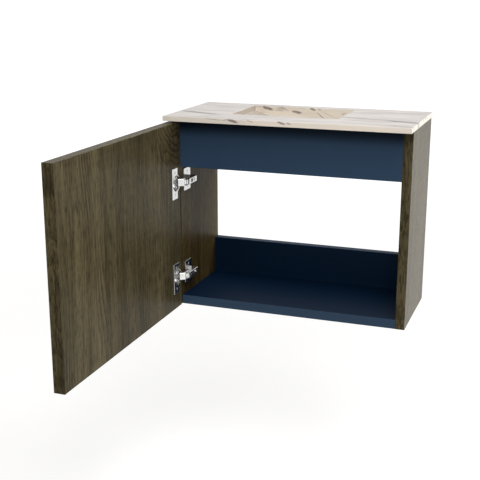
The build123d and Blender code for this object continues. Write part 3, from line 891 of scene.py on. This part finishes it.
@dataclass
class Countertop:
    """The marble slab and the basin bonded under it."""

    front: float = -0.250
    back_wall: float = -0.030
    mouth: Tuple[Triple, Triple] = ((-0.1315, -0.1755, 0.040), (0.0935, -0.0295, 0.0596))
    walls: Tuple[str, ...] = ("basin_front_wall", "basin_back_wall", "basin_end_wall",
                              "basin_floor")

    def edge_marks(self) -> Tuple[Fleck, ...]:
        """The leaf marks along the slab's front face."""
        y = self.front
        return (
            Fleck((-0.142, y, 0.0580), (0.022, 0.006, 0.0007), -0.08, 0.6),
            Fleck((-0.117, y, 0.0580), (0.006, 0.006, 0.0007), 0.33, 0.7),
            Fleck((-0.102, y, 0.0567), (0.014, 0.006, 0.0031), -0.22, 0.95),
            Fleck((-0.066, y, 0.0583), (0.009, 0.005, 0.0010), -0.29, 0.6),
            Fleck((-0.001, y, 0.0575), (0.009, 0.006, 0.0025), -0.29, 0.85),
            Fleck((0.014, y, 0.0572), (0.006, 0.005, 0.0019), -0.21, 0.6),
            Fleck((0.2525, -0.218, 0.0566), (0.004, 0.004, 0.0026), 0.0, 0.85),
            Fleck((0.2525, -0.120, 0.0574), (0.004, 0.005, 0.0020), 0.0, 0.6),
        )

    def basin_marks(self) -> Tuple[Fleck, ...]:
        """The leaf marks and slanting strokes on the basin's back wall."""
        y = self.back_wall
        return (
            Fleck((-0.122, y, 0.0578), (0.010, 0.009, 0.0008), 0.06, 0.7),
            Fleck((-0.101, y, 0.0557), (0.0145, 0.011, 0.0038), -0.23, 0.95),
            Fleck((-0.063, y, 0.0562), (0.013, 0.009, 0.0009), -0.45, 0.65),
            Fleck((-0.034, y, 0.0500), (0.0125, 0.011, 0.0031), -0.12, 0.9),
            Fleck((0.001, y, 0.0575), (0.0085, 0.010, 0.0027), -0.29, 0.85),
            Fleck((0.016, y, 0.0573), (0.0042, 0.009, 0.0016), -0.21, 0.5),
            Fleck((0.018, y, 0.0450), (0.0115, 0.009, 0.0010), -0.63, 0.9),
            Fleck((0.035, y, 0.0480), (0.0155, 0.009, 0.0009), -0.40, 0.45),
            Fleck((0.069, y, 0.0510), (0.0070, 0.009, 0.0014), 0.30, 0.5),
        )

    def slab_veins(self) -> Tuple[Vein, ...]:
        """The long veins that run across the slab's top."""
        return (
            Vein((-0.262, -0.156), (-0.150, -0.194), 0.0125),
            Vein((0.085, -0.142), (0.215, -0.160), 0.0075, 0.75),
            Vein((0.185, -0.163), (0.262, -0.181), 0.0135),
            Vein((0.100, -0.182), (0.215, -0.189), 0.0065, 0.6),
            Vein((0.100, -0.062), (0.262, -0.036), 0.0160, 0.3),
            Vein((-0.200, -0.226), (-0.040, -0.244), 0.0060, 0.45),
            Vein((-0.170, -0.060), (-0.040, -0.020), 0.0040, 0.3),
        )

    def dress(self) -> None:
        """Gives the slab, the basin's walls and its ramp their marble, the ramp's darkened as
        painted shade.
        """
        slab = Marble("marble_slab", flecks=self.edge_marks() + self.basin_marks(),
                      veins=self.slab_veins(), mouth=self.mouth)
        warm = {"ground": BASIN_GROUND, "cloud": BASIN_CLOUD}
        basin = Marble("marble_basin", flecks=self.basin_marks(), **warm)
        ramp = Marble("marble_ramp", ground=RAMP_PAINTED_SHADE_GROUND, cloud=RAMP_PAINTED_SHADE_CLOUD, speckle=0.6)
        dress("countertop", slab.build())
        basin_marble = basin.build()
        for node in self.walls:
            dress(node, basin_marble)
        dress("basin_ramp", ramp.build())


@dataclass
class Door:
    """The oak door and the strips round its four edges."""

    strips: Dict[str, Grain] = field(default_factory=lambda: {
        "free_side": Grain.UPRIGHT, "hinge_side": Grain.UPRIGHT,
        "top": Grain.DEPTHWISE, "bottom": Grain.DEPTHWISE,
    })

    def dress(self) -> None:
        """Gives the door its own cut of oak, with the flame figure near its hinges and a band of
        painted shade down its middle.
        """
        # A band of painted shade darkens the door's face down its middle.
        face = OakDecor(
            "oak_door", heart_across=-0.52, heart_depth=0.06, taper=-0.10,
            painted_shade_across=-0.44, painted_shade=0.4,
            flames=(Flame(-0.235, 0.10, 0.16),),
        )
        dress("door_panel", face.build())
        for place, grain in self.strips.items():
            strip = OakDecor(f"oak_door_{place}", grain=grain, heart_across=-0.6, shift=7.9)
            dress(f"door_edging_{place}", strip.build())


class Level(Enum):
    """The two hinges, by where they stand."""

    UPPER = "upper"
    LOWER = "lower"


@dataclass
class Hinge:
    """One concealed hinge: its pressed parts, its pins and its screws."""

    level: Level
    nickel: bpy.types.Material
    zinc: bpy.types.Material
    pressed: Tuple[str, ...] = ("hinge_cup", "hinge_arm", "hinge_outer_link",
                                "hinge_inner_link", "mounting_plate")
    pins: Tuple[str, ...] = ("hinge_cup_pin", "hinge_arm_rivets", "hinge_inner_link_pin")
    wood_screw: CrossScrew = CrossScrew(
        head_radius=3.4, head_height=1.8, rim_height=0.12, shank_radius=1.6, length=13.0,
        thread_pitch=1.8, thread_height=0.42)
    lock_screw: CrossScrew = CrossScrew(
        head_radius=3.2, head_height=1.45, rim_height=1.1, shank_radius=2.2, length=13.4,
        thread_pitch=0.8, thread_height=0.22)
    side_screw: CrossScrew = CrossScrew(
        head_radius=1.9, head_height=0.3, rim_height=0.15, shank_radius=1.9, length=7.0,
        thread_pitch=0.8, thread_height=0.22, recess_depth=0.8, recess_half_width=0.3,
        recess_reach=0.7)

    def node(self, name: str) -> str:
        """The full name of one of this hinge's CAD nodes."""
        return f"{self.level.value}_{name}"

    def seats(self, node: str, count: int) -> List[Triple]:
        """The middle of each screw's face, from the box of its CAD node.

        Args:
            node: The node that holds the screws, one above the other.
            count: How many it holds, 1 or 2.

        Returns:
            A point for each screw, in metres.
        """
        low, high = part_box(node)
        middle_y = (low.y + high.y) / 2.0
        if count == 1:
            return [(high.x, middle_y, (low.z + high.z) / 2.0)]
        radius = (high.y - low.y) / 2.0
        return [(high.x, middle_y, low.z + radius), (high.x, middle_y, high.z - radius)]

    def drive(self, name: str, screw: CrossScrew, count: int, body: str) -> None:
        """Makes the threaded screws of one CAD node.

        Args:
            name: The node's name without its level.
            screw: The kind of screw.
            count: How many the node holds.
            body: The body they move with.
        """
        node = self.node(name)
        parts = [tube_mesh(node, screw.rings(seat)) for seat in self.seats(node, count)]
        mesh = join_meshes(f"{node}_threaded", parts)
        add_piece(f"{node}_threaded", mesh, self.zinc, body, [node])

    def dress(self) -> None:
        """Plates the pressed parts and pins, and drives the screws."""
        for name in self.pressed:
            dress(self.node(name), self.nickel)
        for name in self.pins:
            dress(self.node(name), self.zinc)
        self.drive("hinge_cup_screws", self.wood_screw, 2, "door")
        self.drive("mounting_plate_screws", self.wood_screw, 2, "carcass")
        self.drive("hinge_lock_screw", self.lock_screw, 1, "carcass")
        self.drive("hinge_side_screw", self.side_screw, 1, "carcass")


@dataclass(frozen=True)
class Lamp:
    """A square soft lamp that faces a point, with places in metres and power in watts."""

    name: str
    place: Triple
    target: Triple
    size: float
    power: float

    def hang(self) -> None:
        """Hangs the lamp in the scene."""
        data = bpy.data.lights.new(self.name, "AREA")
        data.size = self.size
        data.energy = self.power
        lamp = bpy.data.objects.new(self.name, data)
        lamp.location = self.place
        towards = Vector(self.target) - Vector(self.place)
        lamp.rotation_euler = towards.to_track_quat("-Z", "Y").to_euler()
        bpy.context.scene.collection.objects.link(lamp)


@dataclass
class Studio:
    """The camera at the photograph's place, a pale floor, soft lamps and a white surround."""

    camera_place: Triple = (0.5430, -1.9784, 0.3181)
    camera_turn: float = math.radians(20.07)
    camera_dip: float = math.radians(15.43)
    lens: float = 70.32
    sensor_width: float = 36.0
    shift: Tuple[float, float] = (0.0031, 0.0047)
    floor_height: float = -0.79
    floor_half_size: float = 60.0
    surround_light: float = 0.2
    near_lift: float = 0.62
    far_lift: float = 0.95
    near_reach: float = 0.8
    far_reach: float = 4.0
    lamps: Tuple[Lamp, ...] = (
        Lamp("key", (1.0, -1.6, 2.4), (0.0, -0.3, -0.1), 1.6, 54.0),
        Lamp("front", (0.6, -3.2, 1.9), (0.0, -0.3, -0.1), 1.6, 48.0),
        Lamp("right", (2.8, 0.3, 0.9), (0.25, -0.1, -0.1), 1.2, 72.0),
    )

    def place_camera(self) -> None:
        """Stands the camera where the photograph was taken from."""
        data = bpy.data.cameras.new("camera")
        data.sensor_width = self.sensor_width
        data.lens = self.lens
        data.shift_x, data.shift_y = self.shift
        camera = bpy.data.objects.new("camera", data)
        camera.location = self.camera_place
        camera.rotation_euler = (math.pi / 2.0 - self.camera_dip, 0.0, self.camera_turn)
        bpy.context.scene.collection.objects.link(camera)
        bpy.context.scene.camera = camera

    def lay_floor(self) -> None:
        """Lays a wide pale floor, lifted to white where it is seen, most of all far away."""
        reach, height = self.floor_half_size, self.floor_height
        corners = [(-reach, -reach, height), (reach, -reach, height),
                   (reach, reach, height), (-reach, reach, height)]
        mesh = bpy.data.meshes.new("floor")
        mesh.from_pydata(corners, [], [(0, 1, 2, 3)])
        floor = bpy.data.objects.new("floor", mesh)
        bpy.context.scene.collection.objects.link(floor)
        mesh.materials.append(self.floor_material())

    def floor_material(self) -> bpy.types.Material:
        """A plain pale floor with a glow that only direct, mirrored and clear rays see."""
        sheet = NodeSheet("floor")
        x, y, z = sheet.place()
        grain = sheet.noise((x * 3.0, y * 3.0, z), 2.0)
        pale, paler = display_colour(188, 187, 184), display_colour(194, 193, 190)
        sheet.set(base_color=sheet.mix(grain, pale, paler), roughness=0.9)
        distance = (x * x + y * y).root()
        lift = distance.remap(self.near_reach, self.far_reach, self.near_lift, self.far_lift,
                              smooth=True)
        sheet.set(emission_color=(1.0, 1.0, 1.0),
                  emission_strength=self.direct_sight(sheet) * lift)
        return sheet.material

    @staticmethod
    def direct_sight(sheet: NodeSheet) -> Signal:
        """1 for rays from the camera, from a gloss or through glass, and 0 for the rest."""
        path = sheet.add("ShaderNodeLightPath")
        rays = [Signal(sheet, path.outputs[name])
                for name in ("Is Camera Ray", "Is Glossy Ray", "Is Transmission Ray")]
        return rays[0].greater_of(rays[1]).greater_of(rays[2])

    def light(self) -> None:
        """Hangs the lamps in an even surround that is white where it is seen."""
        for lamp in self.lamps:
            lamp.hang()
        world = bpy.data.worlds.new("surround")
        bpy.context.scene.world = world
        world.use_nodes = True
        nodes, links = world.node_tree.nodes, world.node_tree.links
        path = nodes.new("ShaderNodeLightPath")
        seen = nodes.new("ShaderNodeMath")
        seen.operation = "MAXIMUM"
        links.new(path.outputs["Is Camera Ray"], seen.inputs[0])
        links.new(path.outputs["Is Glossy Ray"], seen.inputs[1])
        clear = nodes.new("ShaderNodeMath")
        clear.operation = "MAXIMUM"
        links.new(seen.outputs[0], clear.inputs[0])
        links.new(path.outputs["Is Transmission Ray"], clear.inputs[1])
        strength = nodes.new("ShaderNodeMapRange")
        strength.inputs["To Min"].default_value = self.surround_light
        strength.inputs["To Max"].default_value = 1.0
        links.new(clear.outputs[0], strength.inputs["Value"])
        background = nodes["Background"]
        background.inputs["Color"].default_value = (1.0, 1.0, 1.0, 1.0)
        links.new(strength.outputs["Result"], background.inputs["Strength"])

    def set_up(self) -> None:
        """Sets the camera, the floor, the lamps and the plain view transform."""
        self.place_camera()
        self.lay_floor()
        self.light()
        bpy.context.scene.view_settings.view_transform = "Standard"


def main() -> None:
    """Builds and dresses each sub-assembly in turn."""
    logging.basicConfig(level=logging.INFO, format="%(name)s: %(message)s")
    Studio().set_up()
    nickel = PlatedMetal("nickel", display_colour(206, 206, 205), 0.16).build()
    zinc = PlatedMetal("zinc", display_colour(192, 192, 190), 0.24).build()
    Carcass().dress()
    Countertop().dress()
    Door().dress()
    for level in Level:
        Hinge(level, nickel, zinc).dress()


if __name__ == "__main__":
    main()
